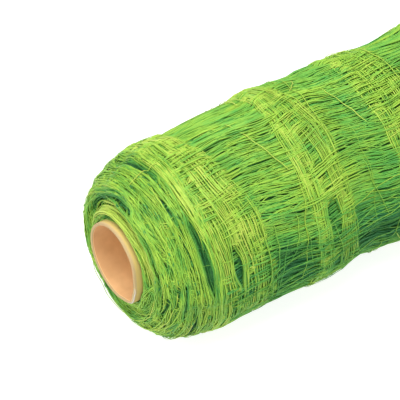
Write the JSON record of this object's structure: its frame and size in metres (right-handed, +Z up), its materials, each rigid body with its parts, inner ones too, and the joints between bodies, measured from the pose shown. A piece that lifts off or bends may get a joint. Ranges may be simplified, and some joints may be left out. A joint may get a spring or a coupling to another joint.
{
  "type": "roll of trellis netting",
  "caption": "Roll of fine plastic trellis netting with rounded ends, wound on a cardboard tube that stands out at both ends, lying on its side.",
  "frame": {"origin": "middle of the base, on the surface that the roll lies on", "axes": "+X along the roll from its near end to its far end, +Z up"},
  "size_m": [0.5, 0.1994, 0.1931],
  "materials": {
    "cardboard": "matt kraft cardboard",
    "netting": "bright yellow-green plastic strands with a soft shine"
  },
  "bodies": {
    "root": {"cardboard_tube": "cardboard", "wound_netting": "netting"}
  },
  "joints": []
}
